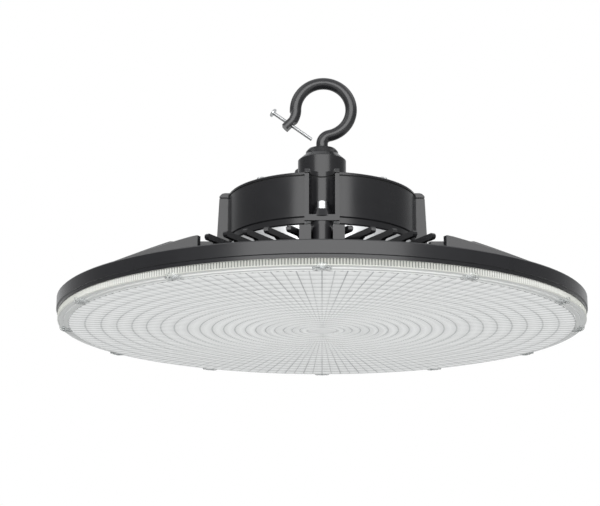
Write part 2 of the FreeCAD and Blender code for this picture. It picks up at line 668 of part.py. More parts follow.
def driver_module():
    """Potted round driver with a screw flange."""
    top = f"({CASE_DECK} + driver_height)"
    flange = f"({CASE_DECK} + driver_flange)"
    can = turned("driver_can", [
        ("driver_recess", CASE_DECK), ("driver_radius", CASE_DECK), ("driver_radius", flange),
        ("driver_can", flange), ("driver_can", f"{top} - 1.5"), ("driver_can - 1.5", top), ("0", top),
        ("0", flange), ("driver_recess", flange)])
    holes = around(cylinder, "driver_hole", 4, "driver_screw_circle", 45, radius="cover_shank + fit_gap",
                   height="driver_flange + 2", z=f"{CASE_DECK} - 1")
    return keep(cut("driver_finished", can, holes), "driver_module")


def driver_screws():
    return keep(screws("driver_screw", "driver_screw_circle", f"({CASE_DECK} + driver_flange)", "cover_head",
                       "cover_head_height", "cover_shank", "(driver_flange + 3)", 4, 45), "driver_screws")


def terminal_block():
    """Three-way terminal strip on the driver, with a screw hole over each way."""
    body = block("terminal_body", "terminal_length", "terminal_width", "terminal_height", "0",
                 "-terminal_place", f"{CASE_DECK} + driver_height")
    holes = [cylinder(f"terminal_hole_{k}", "terminal_width / 5", "terminal_height", f"terminal_length / 3.4 * ({k})",
                      "-terminal_place", f"{CASE_DECK} + driver_height + terminal_height / 2") for k in (-1, 0, 1)]
    return keep(cut("terminal_finished", body, holes), "terminal_block")


# ---- cover ----

def housing_cover():
    """Cover with a raised crown, notched at the channels, with an ear over each pair of ribs."""
    disc = turned("cover_disc", [
        ("shank_radius + fit_gap", COVER_UNDER), ("case_radius", COVER_UNDER),
        ("case_radius", f"{COVER_RIM} - 0.6"), ("case_radius - 0.6", COVER_RIM),
        ("crown_radius + 2", COVER_RIM), ("crown_radius", COVER_TOP), ("shank_radius + fit_gap", COVER_TOP)])
    outer = "(rib_reach - rib_draft)"
    ears = []
    for step, angle in enumerate(QUARTERS):
        ear = padded(f"cover_ear_{step}", "XZ_Plane", [
            ("rib_reach - rib_depth", COVER_UNDER), (outer, COVER_UNDER), (outer, f"{COVER_UNDER} + 0.6"),
            (f"{outer} - ear_round * 0.12", f"{COVER_TOP} - ear_round * 0.5"),
            (f"{outer} - ear_round * 0.5", f"{COVER_TOP} - ear_round * 0.12"),
            (f"{outer} - ear_round", COVER_TOP), ("rib_reach - rib_depth", COVER_TOP)],
            "2 * (channel_radius + rib_thickness)", both_ways=True)
        ear.Placement = FreeCAD.Placement(FreeCAD.Vector(), FreeCAD.Rotation(FreeCAD.Vector(0, 0, 1), angle))
        ears.append(ear)
    holes = around(cylinder, "cover_hole", 4, "cover_screw_circle", 45, radius="cover_shank + fit_gap",
                   height="cover_edge * 4", z=f"{COVER_UNDER} - 1")
    holes.append(cylinder("gland_hole", "gland_thread + fit_gap", "cover_edge * 4", "gland_x", "gland_y",
                          f"{COVER_UNDER} - 1"))
    return keep(cut("cover_finished", joined("cover_blank", [disc] + ears),
                    channels("cover_channel", f"{COVER_UNDER} - 1") + holes), "housing_cover")


def cover_gasket():
    """Rubber seal along the housing's upper edge, following the channels."""
    ring = turned("gasket_ring", rectangle("case_radius - case_wall", "case_radius - 0.7", CASE_TOP, COVER_UNDER))
    inner = "(rib_reach - rib_depth)"
    width = "2 * (channel_radius + rib_thickness - 0.3)"
    length = f"(rib_reach - rib_draft - 0.5 - {inner})"
    strips = []
    for step, angle in enumerate(QUARTERS):
        x, y = round(math.cos(math.radians(angle))), round(math.sin(math.radians(angle)))
        strips.append(block(f"gasket_strip_{step}", f"abs({x}) * {length} + abs({y}) * {width}",
                            f"abs({y}) * {length} + abs({x}) * {width}", "cover_gap",
                            f"({inner} + {length} / 2) * ({x})", f"({inner} + {length} / 2) * ({y})", CASE_TOP))
    return keep(cut("gasket_finished", joined("gasket_blank", [ring] + strips),
                    channels("gasket_channel", f"{CASE_TOP} - 1", "0.6")), "cover_gasket")


def cover_screws():
    return keep(screws("cover_screw", "cover_screw_circle", COVER_TOP, "cover_head", "cover_head_height",
                       "cover_shank", "cover_shank_length", 4, 45), "cover_screws")


# ---- hook, its base and latch screw ----

def hook_base():
    top = KNUCKLE_TOP
    bore = "shank_radius + fit_gap"
    return keep(turned("knuckle", [
        (bore, COVER_TOP), ("knuckle_radius - 0.6", COVER_TOP), ("knuckle_radius", f"{COVER_TOP} + 0.6"),
        ("knuckle_radius", f"{COVER_TOP} + knuckle_shoulder - 0.7"),
        ("knuckle_radius - 0.7", f"{COVER_TOP} + knuckle_shoulder"),
        ("knuckle_neck", f"{top} - 5"), ("knuckle_neck - 0.3", f"{top} - 3"),
        ("knuckle_neck - 1.9", f"{top} - 1"), ("knuckle_tip", top), (bore, top)]), "hook_base")


def hook_path(body):
    """Middle line of the rod: straight shank, side bend, loop, outward bend and straight end."""
    path = body.newObject("Sketcher::SketchObject", "hook_path")
    path.AttachmentSupport = [([item for item in body.Origin.OriginFeatures if item.Role == "XZ_Plane"][0], "")]
    path.MapMode = "FlatFace"
    low, high = value_of(f"{COVER_UNDER} - thread_below"), value_of(f"{KNUCKLE_TOP} + lead_height")
    loop, side = value_of("loop_radius"), value_of("loop_offset")
    middle = value_of(f"{KNUCKLE_TOP} + loop_height")
    bend, turn, end = value_of("tip_bend"), math.radians(value_of("tip_turn")), value_of("tip_straight")
    lead = ((middle - high) ** 2 + side ** 2 - loop ** 2) / (2 * (loop + side))
    meet = math.atan2(middle - high, side - lead)
    up = FreeCAD.Vector(0, 0, 1)
    vector = FreeCAD.Vector
    path.addGeometry(Part.LineSegment(vector(0, low, 0), vector(0, high, 0)))
    path.addGeometry(Part.ArcOfCircle(Part.Circle(vector(lead, high, 0), up, lead), meet, math.pi))
    path.addGeometry(Part.ArcOfCircle(Part.Circle(vector(side, middle, 0), up, loop), meet - math.pi, math.pi))
    path.addGeometry(Part.ArcOfCircle(Part.Circle(vector(side - loop - bend, middle, 0), up, bend), -turn, 0))
    last = vector(side - loop - bend + bend * math.cos(turn), middle - bend * math.sin(turn), 0)
    path.addGeometry(Part.LineSegment(last, last + vector(-math.sin(turn), -math.cos(turn), 0) * end))
    for first, first_end, second, second_end in ((0, 2, 1, 2), (1, 1, 2, 1), (2, 2, 3, 2), (3, 1, 4, 1)):
        path.addConstraint(Sketcher.Constraint("Tangent", first, first_end, second, second_end))
    path.addConstraint(Sketcher.Constraint("Horizontal", 2, 3, 2, 2))
    for name, kind, where, text in (
            ("shank_x", "DistanceX", (0, 1), "0"), ("shank_low", "DistanceY", (0, 1), f"{COVER_UNDER} - thread_below"),
            ("lead_x", "DistanceX", (0, 2), "0"), ("lead_high", "DistanceY", (0, 2), f"{KNUCKLE_TOP} + lead_height"),
            ("loop_x", "DistanceX", (2, 3), "loop_offset"),
            ("loop_z", "DistanceY", (2, 3), f"{KNUCKLE_TOP} + loop_height"),
            ("loop_size", "Radius", (2,), "loop_radius"), ("bend_size", "Radius", (3,), "tip_bend"),
            ("end_length", "Distance", (4,), "tip_straight")):
        index = path.addConstraint(Sketcher.Constraint(kind, *where, value_of(text)))
        path.renameConstraint(index, name)
        path.setExpression("Constraints." + name, formula(text))
    index = path.addConstraint(Sketcher.Constraint("Angle", 4, math.pi * 1.5 - turn))
    path.renameConstraint(index, "end_slope")
    path.setExpression("Constraints.end_slope", formula("(270 - tip_turn) * 1deg"))
    return path


def latch_frame():
    """Where the latch screw crosses the hook's end, and the direction of its axis."""
    turn = math.radians(value_of("tip_turn"))
    bend = value_of("tip_bend")
    x = value_of("loop_offset - loop_radius - tip_bend") + bend * math.cos(turn)
    z = value_of(f"{KNUCKLE_TOP} + loop_height") - bend * math.sin(turn)
    slope = math.radians(value_of("latch_slope"))
    along = FreeCAD.Vector(math.cos(slope), 0, -math.sin(slope))
    return FreeCAD.Vector(x, 0, z) - along * value_of("latch_outside"), along


def hook():
    """Bent steel rod with a round loop, a flattened end and a hole there for the latch screw."""
    body = new_body("hook_rod")
    pipe = body.newObject("PartDesign::AdditivePipe", "hook_pipe")
    section = body.newObject("Sketcher::SketchObject", "hook_section")
    section.AttachmentSupport = [([item for item in body.Origin.OriginFeatures if item.Role == "XY_Plane"][0], "")]
    section.MapMode = "FlatFace"
    section.setExpression("AttachmentOffset.Base.z", formula(f"{COVER_UNDER} - thread_below"))
    section.addGeometry(Part.Circle(FreeCAD.Vector(), FreeCAD.Vector(0, 0, 1), value_of("shank_radius")))
    section.addConstraint(Sketcher.Constraint("Coincident", 0, 3, -1, 1))
    index = section.addConstraint(Sketcher.Constraint("Radius", 0, value_of("shank_radius")))
    section.renameConstraint(index, "rod_size")
    section.setExpression("Constraints.rod_size", formula("shank_radius"))
    path = hook_path(body)
    doc.recompute()
    pipe.Profile = section
    pipe.Spine = (path, [f"Edge{k}" for k in range(1, 6)])
    body.Tip = pipe
    start, along = latch_frame()
    drill = doc.addObject("Part::Cylinder", "latch_drill")
    bind(drill, Radius="latch_radius + fit_gap", Height="latch_length")
    drill.Placement = FreeCAD.Placement(start, FreeCAD.Rotation(FreeCAD.Vector(0, 0, 1), along))
    end_x = "(loop_offset - loop_radius - tip_bend + tip_bend * cos(tip_turn))"
    end_z = f"({KNUCKLE_TOP} + loop_height - tip_bend * sin(tip_turn))"
    flats = []
    for side in (-1, 1):
        points = [(-7, "shank_radius + 0.2"), (-2.5, "tip_flat / 2"), (9, "tip_flat / 2"), (9, "2 * shank_radius"),
                  (-7, "2 * shank_radius")]
        flats.append(padded(f"tip_side_{side + 1}", "XZ_Plane", [
            (f"{end_x} - ({run}) * sin(tip_turn) + ({side}) * ({off}) * cos(tip_turn)",
             f"{end_z} - ({run}) * cos(tip_turn) - ({side}) * ({off}) * sin(tip_turn)") for run, off in points],
            "4 * shank_radius", both_ways=True))
    return keep(cut("hook_finished", body, flats + [drill]), "hook")


def latch_screw():
    """Long screw across the hook's mouth, held in the flattened end."""
    body = turned("latch_turned", [
        ("0", "-latch_head_height"), ("latch_head - 0.5", "-latch_head_height"), ("latch_head", "-latch_head_height + 0.6"),
        ("latch_head", "0"), ("latch_radius", "0"), ("latch_radius", "latch_length - 1"),
        ("latch_radius - 0.6", "latch_length"), ("0", "latch_length")])
    start, along = latch_frame()
    body.Placement = FreeCAD.Placement(start, FreeCAD.Rotation(FreeCAD.Vector(0, 0, 1), along))
    return keep(body, "latch_screw")


def hook_washer():
    return keep(turned("washer_ring", rectangle("shank_radius + fit_gap", "washer_radius",
                                                f"{COVER_UNDER} - washer_thickness", COVER_UNDER)), "hook_washer")


def hook_nut():
    low = f"{COVER_UNDER} - washer_thickness - nut_height"
    return keep(cut("nut_finished", hexagon("nut_blank", "nut_flats", "nut_height", z=low),
                    [cylinder("nut_bore", "shank_radius + fit_gap", "nut_height + 2", z=f"{low} - 1")]),
                "hook_nut")


# ---- cable gland ----

def gland_body():
    """Hexagon on the cover, threaded tail through it and a collar inside the dome nut."""
    spot = ("gland_x", "gland_y")
    parts = [cylinder("gland_tail", "gland_thread", "gland_thread_length + cover_edge + cover_crown", *spot,
                      f"{COVER_UNDER} - gland_thread_length"),
             hexagon("gland_hexagon", "gland_flats", "gland_body_height", *spot, COVER_TOP),
             cylinder("gland_collar", "gland_nut_radius - 2.4", "gland_collar", *spot,
                      f"{COVER_TOP} + gland_body_height")]
    bore = cylinder("gland_way", "gland_bore + gland_seal_wall", "90", *spot, f"{COVER_UNDER} - gland_thread_length - 1")
    return keep(cut("gland_body_finished", joined("gland_blank", parts), [bore]), "gland_body")


def gland_seal():
    low = f"{COVER_TOP} + gland_body_height - 4"
    spot = ("gland_x", "gland_y")
    return keep(cut("gland_seal_finished", cylinder("gland_seal_blank", "gland_bore + gland_seal_wall - fit_gap",
                                                    "gland_collar + 8", *spot, low),
                    [cylinder("gland_seal_bore", "gland_bore", "40", *spot, f"{low} - 1")]), "gland_seal")


def gland_nut():
    """Domed nut that squeezes the seal round the cord."""
    low = f"{COVER_TOP} + gland_body_height"
    body = turned("gland_dome", [
        ("gland_nut_radius - 2.4 + fit_gap", "0.3"), ("gland_nut_radius", "0.3"),
        ("gland_nut_radius", "gland_nut_height * 0.62"), ("gland_nut_radius - 1.4", "gland_nut_height * 0.84"),
        ("gland_nut_radius - 4", "gland_nut_height"), ("gland_bore + 0.6", "gland_nut_height"),
        ("gland_bore + 0.6", "gland_collar + 4.6"), ("gland_nut_radius - 2.4 + fit_gap", "gland_collar + 4.6")])
    return keep(place(body, "gland_x", "gland_y", low), "gland_nut")


def gland_locknut():
    low = f"{COVER_UNDER} - locknut_height"
    spot = ("gland_x", "gland_y")
    return keep(cut("locknut_finished", hexagon("locknut_blank", "gland_flats", "locknut_height", *spot, low),
                    [cylinder("locknut_bore", "gland_thread + fit_gap", "locknut_height + 2", *spot,
                              f"{low} - 1")]), "gland_locknut")


for make in (heat_sink, lens, lens_seal, lens_screws, led_board, led_packages, board_screws, lead_connector,
             driver_base, base_seals, driver_housing, housing_screws, lead_grommet, driver_module,
             driver_screws, terminal_block, housing_cover, cover_gasket, cover_screws, hook_base, hook,
             hook_washer, hook_nut, latch_screw, gland_body, gland_seal, gland_nut, gland_locknut):
    make()
doc.recompute()

for thing in doc.Objects:
    if "Invalid" in thing.State or "Error" in thing.State:
        raise RuntimeError(f"{thing.Label} did not build: {thing.State}")
for thing in pieces:
    if thing.Shape.isNull() or not thing.Shape.isValid():
        raise RuntimeError(f"{thing.Label} has no valid shape")
os.makedirs("parts", exist_ok=True)
for thing in pieces:
    thing.Shape.exportStep(os.path.join("parts", thing.Label + ".step"))
    print(f"{thing.Label}: {len(thing.Shape.Solids)} solid(s), {thing.Shape.Volume / 1000:.2f} cm3")
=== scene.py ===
"""High bay light, hung by its ring hook and seen from a little below. Metres, in the part's own frame:
+Z up the lamp's axis, the lens face at z = 0, the front at -Y."""
import math

import bmesh
import bpy
from mathutils import Matrix, Vector


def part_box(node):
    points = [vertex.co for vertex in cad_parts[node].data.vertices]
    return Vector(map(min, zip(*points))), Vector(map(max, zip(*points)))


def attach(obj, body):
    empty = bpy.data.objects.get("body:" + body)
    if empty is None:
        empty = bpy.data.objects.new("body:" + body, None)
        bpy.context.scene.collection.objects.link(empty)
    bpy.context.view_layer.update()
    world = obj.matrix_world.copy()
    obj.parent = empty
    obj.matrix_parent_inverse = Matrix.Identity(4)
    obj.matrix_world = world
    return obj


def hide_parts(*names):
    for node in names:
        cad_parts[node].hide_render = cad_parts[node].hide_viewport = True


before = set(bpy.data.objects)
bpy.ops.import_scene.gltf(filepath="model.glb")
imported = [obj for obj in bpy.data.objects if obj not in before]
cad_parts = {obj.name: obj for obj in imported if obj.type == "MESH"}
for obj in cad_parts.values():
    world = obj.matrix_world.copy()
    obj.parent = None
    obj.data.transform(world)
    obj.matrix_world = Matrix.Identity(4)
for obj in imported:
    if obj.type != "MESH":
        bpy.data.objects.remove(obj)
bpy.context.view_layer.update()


# ---- Heat sink: one die casting in aluminium with rim, base plate and fins ----
# The black is a fine powder coat, baked on. It gives the eye a soft satin sheen with a faint
# orange peel.

MM = 0.001
GRAINS_PER_PATCH = 40


def hex_colour(code):
    """An sRGB hex colour as the linear value a shader takes."""
    parts = [int(code[k:k + 2], 16) / 255 for k in (1, 3, 5)]
    return tuple(c / 12.92 if c <= 0.04045 else ((c + 0.055) / 1.055) ** 2.4 for c in parts) + (1.0,)


def add_node(owner, kind, settings=None, links=None):
    """Adds a node to a material or a world. Settings and links go by a socket's name or its number."""
    tree = owner.node_tree
    node = tree.nodes.new(kind)
    for name, value in (settings or {}).items():
        if isinstance(name, int) or name in node.inputs:
            node.inputs[name].default_value = value
        else:
            setattr(node, name, value)
    for name, source in (links or {}).items():
        tree.links.new(source, node.inputs[name])
    return node


def new_material(name, colour, roughness, **settings):
    """A material with the shader's plain values set, returned with its shader node."""
    material = bpy.data.materials.new(name)
    material.use_nodes = True
    shader = material.node_tree.nodes["Principled BSDF"]
    settings.update(Base_Color=hex_colour(colour), Roughness=roughness)
    for socket, value in settings.items():
        shader.inputs[socket.replace("_", " ")].default_value = value
    return material, shader


def grain(material, shader, size_mm, depth_mm, strength, low, high, rough):
    """Cast or moulded grain: a bump, and small changes of roughness and colour from patch to patch.

    A single grain is too fine to show in these changes, so a patch is drawn forty grains wide."""
    place = add_node(material, "ShaderNodeTexCoord").outputs["Object"]
    grains = add_node(material, "ShaderNodeTexNoise", {"Scale": 1000 / size_mm, "Detail": 3.0},
                      {"Vector": place})
    patches = add_node(material, "ShaderNodeTexNoise",
                       {"Scale": 1000 / (size_mm * GRAINS_PER_PATCH), "Detail": 2.0}, {"Vector": place})
    bump = add_node(material, "ShaderNodeBump", {"Strength": strength, "Distance": depth_mm * MM},
                    {"Height": grains.outputs["Fac"]})
    level = add_node(material, "ShaderNodeMapRange", {"To Min": rough[0], "To Max": rough[1]},
                     {"Value": patches.outputs["Fac"]})
    tint = add_node(material, "ShaderNodeMix",
                    {"data_type": "RGBA", 6: hex_colour(low), 7: hex_colour(high)},
                    {0: patches.outputs["Fac"]})
    links = material.node_tree.links
    links.new(bump.outputs["Normal"], shader.inputs["Normal"])
    links.new(level.outputs["Result"], shader.inputs["Roughness"])
    links.new(tint.outputs[2], shader.inputs["Base Color"])


def finish_cad(material, *names):
    """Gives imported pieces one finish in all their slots."""
    for name in names:
        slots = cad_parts[name].data.materials
        slots.clear()
        slots.append(material)


powder_coat, powder_shader = new_material("powder_coated_die_cast_aluminium", "#202022", 0.4,
                                          Specular_IOR_Level=0.4)
grain(powder_coat, powder_shader, size_mm=0.5, depth_mm=0.01, strength=0.3,
      low="#1e1e20", high="#242426", rough=(0.2, 0.28))
finish_cad(powder_coat, "heat_sink")


# ---- LED board: an aluminium-backed disc with a white solder mask ----
# The mask is a printed, slightly glossy white film. Square LED packages sit on it in rings, and what
# shows of each is its yellow phosphor.

solder_mask, mask_shader = new_material("white_solder_mask", "#f2f3f0", 0.35)
grain(solder_mask, mask_shader, size_mm=0.8, depth_mm=0.01, strength=0.3,
      low="#f0f1ee", high="#f6f6f3", rough=(0.3, 0.4))
finish_cad(solder_mask, "led_board")

phosphor, phosphor_shader = new_material("yellow_phosphor_resin", "#efe2a0", 0.3)
grain(phosphor, phosphor_shader, size_mm=0.3, depth_mm=0.02, strength=0.4,
      low="#eadb8e", high="#f4ecc0", rough=(0.25, 0.4))
finish_cad(phosphor, "led_packages")


# ---- Lens: one clear polycarbonate moulding with small pillow lenses and a ribbed edge ----
# Injection moulded. The face is a field of small cushions between 144 radial lines and rings that
# close up towards the middle; a clear flange and a wall with fine teeth run round it.

AXIS = Vector((0, 0, 1))
CENTRE = Vector((0, 0, 0))
FACE_RADIUS = 186.0
FACE_RINGS = 20
OUTER_RING_WIDTH = 12.0
INNER_RING_WIDTH = 5.5
SMALLEST_RING = 7.0
RADIAL_LINES = 144
CELL_STOPS = (0.0, 0.1, 0.5, 0.9, 1.0)
GROOVE_DEPTH = 0.6
GROOVE_SHARPNESS = 4
# The painted shade drawn along the face's grooves, and how it fades and narrows.
RING_SHADE = 0.85
RING_FADE = 800
MAIN_LINE_SHADE = 1.0
SIDE_LINE_SHADE = 0.75
GROOVE_NARROWING = 1.8
FULL_LINE_RADIUS = 130
EDGE_TEETH = 600
TOOTH_TIP = 193.9
TOOTH_ROOT = 192.8
WALL_STARTS = 193
WALL_FRONT = 2.8
WALL_BACK = 6.7
FLANGE_STEP = 1.1
FLANGE_FRONT = 2.1
LENS_DEPTH = 7.0
LENS_WALL = 3.0
POCKET_RADIUS = 179.0
POLYCARBONATE_IOR = 1.58


def ring_radii():
    """Radii of the face's ring lines, closer together towards the middle, in millimetres."""
    found = [FACE_RADIUS]
    for k in range(FACE_RINGS):
        narrowing = (OUTER_RING_WIDTH - INNER_RING_WIDTH) * k / (FACE_RINGS - 1)
        found.append(found[-1] - OUTER_RING_WIDTH + narrowing)
    return [radius for radius in found if radius > SMALLEST_RING]


def outline(mesh, points):
    """A chain of edges from radius and height in millimetres, in the XZ plane."""
    verts = [mesh.verts.new((r * MM, 0, z * MM)) for r, z in points]
    edges = [mesh.edges.new(pair) for pair in zip(verts, verts[1:])]
    return verts + edges


def turned(points, steps):
    """A bmesh of an outline turned once round the lamp's axis."""
    mesh = bmesh.new()
    bmesh.ops.spin(mesh, geom=outline(mesh, points), cent=CENTRE, axis=AXIS, angle=math.tau,
                   steps=steps, use_merge=True, use_duplicate=False)
    return mesh


def step_round(vert, steps):
    """The number of the step round the lamp's axis that a vertex of a turned shape stands on."""
    return round(math.atan2(vert.co.y, vert.co.x) / math.tau * steps)


def copies_round(mesh, count, start=0.0):
    """Copies all that a bmesh holds to equal steps round the lamp's axis, from a start in degrees."""
    bmesh.ops.rotate(mesh, verts=mesh.verts, cent=CENTRE,
                     matrix=Matrix.Rotation(math.radians(start), 3, "Z"))
    bmesh.ops.spin(mesh, geom=mesh.verts[:] + mesh.edges[:] + mesh.faces[:], cent=CENTRE, axis=AXIS,
                   angle=math.tau * (count - 1) / count, steps=count - 1, use_duplicate=True)


def close_up(mesh, gap_mm=0.01):
    """Merges doubles and turns every face outwards."""
    bmesh.ops.remove_doubles(mesh, verts=mesh.verts, dist=gap_mm * MM)
    bmesh.ops.recalc_face_normals(mesh, faces=mesh.faces)


def join_in(mesh, *parts):
    """Adds other bmeshes to one and frees them."""
    for part in parts:
        scratch = bpy.data.meshes.new("part")
        part.to_mesh(scratch)
        part.free()
        mesh.from_mesh(scratch)
        bpy.data.meshes.remove(scratch)


def piece(name, mesh, *materials, smooth_below=30):
    """Turns a bmesh into a finished piece that rides on the lamp."""
    data = bpy.data.meshes.new(name)
    mesh.to_mesh(data)
    mesh.free()
    for material in materials:
        data.materials.append(material)
    data.shade_smooth()
    data.set_sharp_from_angle(angle=math.radians(smooth_below))
    thing = bpy.data.objects.new(name, data)
    bpy.context.scene.collection.objects.link(thing)
    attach(thing, "root")
    return thing


def painted_groove_shade(radius, on_ring, on_main_line, on_side_line):
    """Painted shade for a groove: how dark it is drawn. The rings' painted shade fades outwards, and the
    radial lines' fades towards the middle.
    """
    ring = (RING_SHADE - radius / RING_FADE) * on_ring
    radial = MAIN_LINE_SHADE * on_main_line + SIDE_LINE_SHADE * on_side_line
    return max(ring, radial * min(1.0, radius / FULL_LINE_RADIUS))


def face_sector(mesh, groove):
    """Two wedges of cushions, from the rim to the middle. Grooves are marked with their painted shade for
    the material.
    """
    radii = ring_radii()
    cells = len(radii) - 1
    last = len(CELL_STOPS) - 1
    made = bmesh.ops.create_grid(mesh, x_segments=cells * last, y_segments=2 * last, size=1.0)
    wedge_angle = math.tau / RADIAL_LINES
    for vert in made["verts"]:
        row = round((vert.co.x + 1) / 2 * cells * last)
        column = round((vert.co.y + 1) / 2 * 2 * last)
        ring = min(row // last, cells - 1)
        wedge = min(column // last, 1)
        along = CELL_STOPS[row - ring * last]
        across = CELL_STOPS[column - wedge * last]
        radius = radii[ring] * (1 - along) + radii[ring + 1] * along
        angle = (wedge + across) * wedge_angle
        to_edge = max(abs(2 * along - 1), abs(2 * across - 1))
        height = GROOVE_DEPTH * to_edge ** GROOVE_SHARPNESS
        vert.co = Vector((radius * math.cos(angle), radius * math.sin(angle), height)) * MM
        on_line = across in (0.0, 1.0)
        on_main_line = on_line and (wedge + across) % 2 == 0
        vert[groove] = painted_groove_shade(radius, along in (0.0, 1.0), on_main_line,
                                    on_line and not on_main_line)


face = bmesh.new()
face_sector(face, face.verts.layers.float.new("groove"))
copies_round(face, RADIAL_LINES // 2)

inner = min(ring_radii())
middle = turned([(inner, GROOVE_DEPTH), (inner - 1.2, 0.1), (inner - 4, 0.05), (0.0, 0.05)],
                RADIAL_LINES * 4)
flange = turned([(FACE_RADIUS, GROOVE_DEPTH), (186.3, FLANGE_STEP), (188.7, FLANGE_STEP), (189.3, 1.3),
                 (189.6, FLANGE_FRONT), (193.4, FLANGE_FRONT), (TOOTH_TIP, 2.5),
                 (TOOTH_TIP, WALL_FRONT)], RADIAL_LINES * 4)
back = turned([(TOOTH_TIP, WALL_BACK), (193.7, LENS_DEPTH), (179.4, LENS_DEPTH), (POCKET_RADIUS, 6.8),
               (POCKET_RADIUS, 3.4), (178.6, LENS_WALL), (0.0, LENS_WALL)], RADIAL_LINES * 2)
teeth = turned([(TOOTH_TIP, WALL_FRONT), (TOOTH_TIP, WALL_BACK)], EDGE_TEETH * 2)
for vert in teeth.verts:
    if step_round(vert, EDGE_TEETH * 2) % 2:
        vert.co.xy *= TOOTH_ROOT / TOOTH_TIP
join_in(face, middle, flange, back, teeth)
close_up(face, 0.02)

painted_shade_layer = face.verts.layers.float["groove"]
# The roots of the wall's teeth get the full painted shade.
for vert in face.verts:
    in_wall = vert.co.z > 2.5 * MM
    if in_wall and abs(vert.co.xy.length - TOOTH_ROOT * MM) < 0.1 * MM:
        vert[painted_shade_layer] = 1.0
WALL_SLOT = 1
FLANGE_SLOT = 2
for patch in face.faces:
    out = patch.calc_center_median().xy.length
    if out > WALL_STARTS * MM:
        patch.material_index = WALL_SLOT
    elif out > (FACE_RADIUS + 0.1) * MM:
        patch.material_index = FLANGE_SLOT


def paint_groove_shade(material, shader, ground, line):
    """Paints shade into the grooves that are marked in the mesh, drawing them darker than the rest."""
    marks = add_node(material, "ShaderNodeAttribute", {"attribute_name": "groove"})
    narrowed = add_node(material, "ShaderNodeMath", {"operation": "POWER", 1: GROOVE_NARROWING},
                        {0: marks.outputs["Fac"]})
    tint = add_node(material, "ShaderNodeMix",
                    {"data_type": "RGBA", 6: hex_colour(ground), 7: hex_colour(line)},
                    {0: narrowed.outputs["Value"]})
    material.node_tree.links.new(tint.outputs[2], shader.inputs["Base Color"])


def show(owner, end_name, node):
    """Makes a node the one that its material or world shows."""
    tree = owner.node_tree
    tree.links.new(node.outputs[0], tree.nodes[end_name].inputs["Surface"])


def lets_light_through(material, shader, share):
    """A moulding that throws hardly any shadow: a share of the light rays pass it straight."""
    ray = add_node(material, "ShaderNodeLightPath")
    straight = add_node(material, "ShaderNodeBsdfTransparent")
    part = add_node(material, "ShaderNodeMath", {"operation": "MULTIPLY", 1: share},
                    {0: ray.outputs["Is Shadow Ray"]})
    both = add_node(material, "ShaderNodeMixShader", None,
                    {0: part.outputs["Value"], 1: shader.outputs["BSDF"], 2: straight.outputs["BSDF"]})
    show(material, "Material Output", both)


# The face is clear polycarbonate, but its cushions scatter the light that comes back from the white board,
# so it looks nearly white. The grooves between cushions are fine grey lines of painted shade.
prisms, prism_shader = new_material("prismatic_polycarbonate", "#fbfcfb", 0.12,
                                    IOR=POLYCARBONATE_IOR, Transmission_Weight=0.08)
paint_groove_shade(prisms, prism_shader, "#fefefe", "#5e6367")
lets_light_through(prisms, prism_shader, 0.9)

# The toothed wall is the same plastic, but its fine ribs scatter light, so it looks frosted.
ribbed_pc, ribbed_shader = new_material("ribbed_edge_polycarbonate", "#e6e7df", 0.3,
                                        IOR=POLYCARBONATE_IOR, Transmission_Weight=0.35)
# Painted shade darkens the roots of its teeth.
paint_groove_shade(ribbed_pc, ribbed_shader, "#eeefe8", "#7d7f7c")
lets_light_through(ribbed_pc, ribbed_shader, 0.9)

# The flat flange between wall and face has no texture, so it is smooth and partly clear.
flange_pc, flange_shader = new_material("clear_moulded_polycarbonate", "#fbfcfb", 0.05,
                                        IOR=POLYCARBONATE_IOR, Transmission_Weight=0.38)
lets_light_through(flange_pc, flange_shader, 0.97)

lens = piece("prismatic_lens", face, prisms, ribbed_pc, flange_pc, smooth_below=50)
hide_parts("lens")


# ---- Lens screw bosses: twelve, moulded in one with the lens flange ----
# Each is a short cone with a counterbore for its screw, and stands in a round notch with a raised
# collar. The mould is polished here, so the polycarbonate is at its clearest.

BOSS_CIRCLE = 188.4
BOSS_COUNT = 12
BOSS_STEPS = 24
COLLAR_LIFT_START = 192.5
COLLAR_LIFT_SLOPE = 0.4


def turned_solid(points, steps, place=CENTRE):
    """A closed turned solid from radius and height in millimetres, about an upright axis at a place."""
    mesh = turned(points, steps)
    close_up(mesh)
    bmesh.ops.translate(mesh, verts=mesh.verts, vec=place)
    return mesh


boss_place = Vector((BOSS_CIRCLE * MM, 0, 0))
bosses = turned_solid([(2.2, 3.0), (3.6, 3.0), (3.6, 0.8), (3.8, 0.6), (4.1, 0.6), (4.2, 0.8), (4.9, 2.6)],
                      BOSS_STEPS, boss_place)
collars = turned_solid([(6.6, 2.6), (6.4, 0.9), (5.9, 0.6), (5.6, 0.9), (5.5, 2.6)], BOSS_STEPS, boss_place)
for vert in collars.verts:
    vert.co.z += max(0, (vert.co.xy.length - COLLAR_LIFT_START * MM) * COLLAR_LIFT_SLOPE)
polished_pc, polished_shader = new_material("polished_clear_polycarbonate", "#e9ebeb", 0.04,
                                            IOR=POLYCARBONATE_IOR, Transmission_Weight=0.9)
lets_light_through(polished_pc, polished_shader, 0.9)
for name, mesh in (("lens_bosses", bosses), ("lens_boss_collars", collars)):
    copies_round(mesh, BOSS_COUNT)
    thing = piece(name, mesh, polished_pc, smooth_below=35)


# ---- Fasteners: stainless pan heads, socket cap screws and plain hardware ----
# Cold-headed stainless steel, bright but not polished, so highlights are short and a little soft.
# Pan heads have a cross recess, and cap screws a hexagon socket and a knurled head.

COVER_SCREW_CIRCLE = 62
CAP_SCREW_CIRCLE = 71.5
CAP_HEAD_HEIGHT = 6
SOCKET_HALF_WIDTH = 2.55
SOCKET_DEPTH = 3.2
KNURL_STEPS = 48
KNURL_WAIST = 0.975
RECESS_WAIST = 0.28
RECESS_FLOOR = 0.8

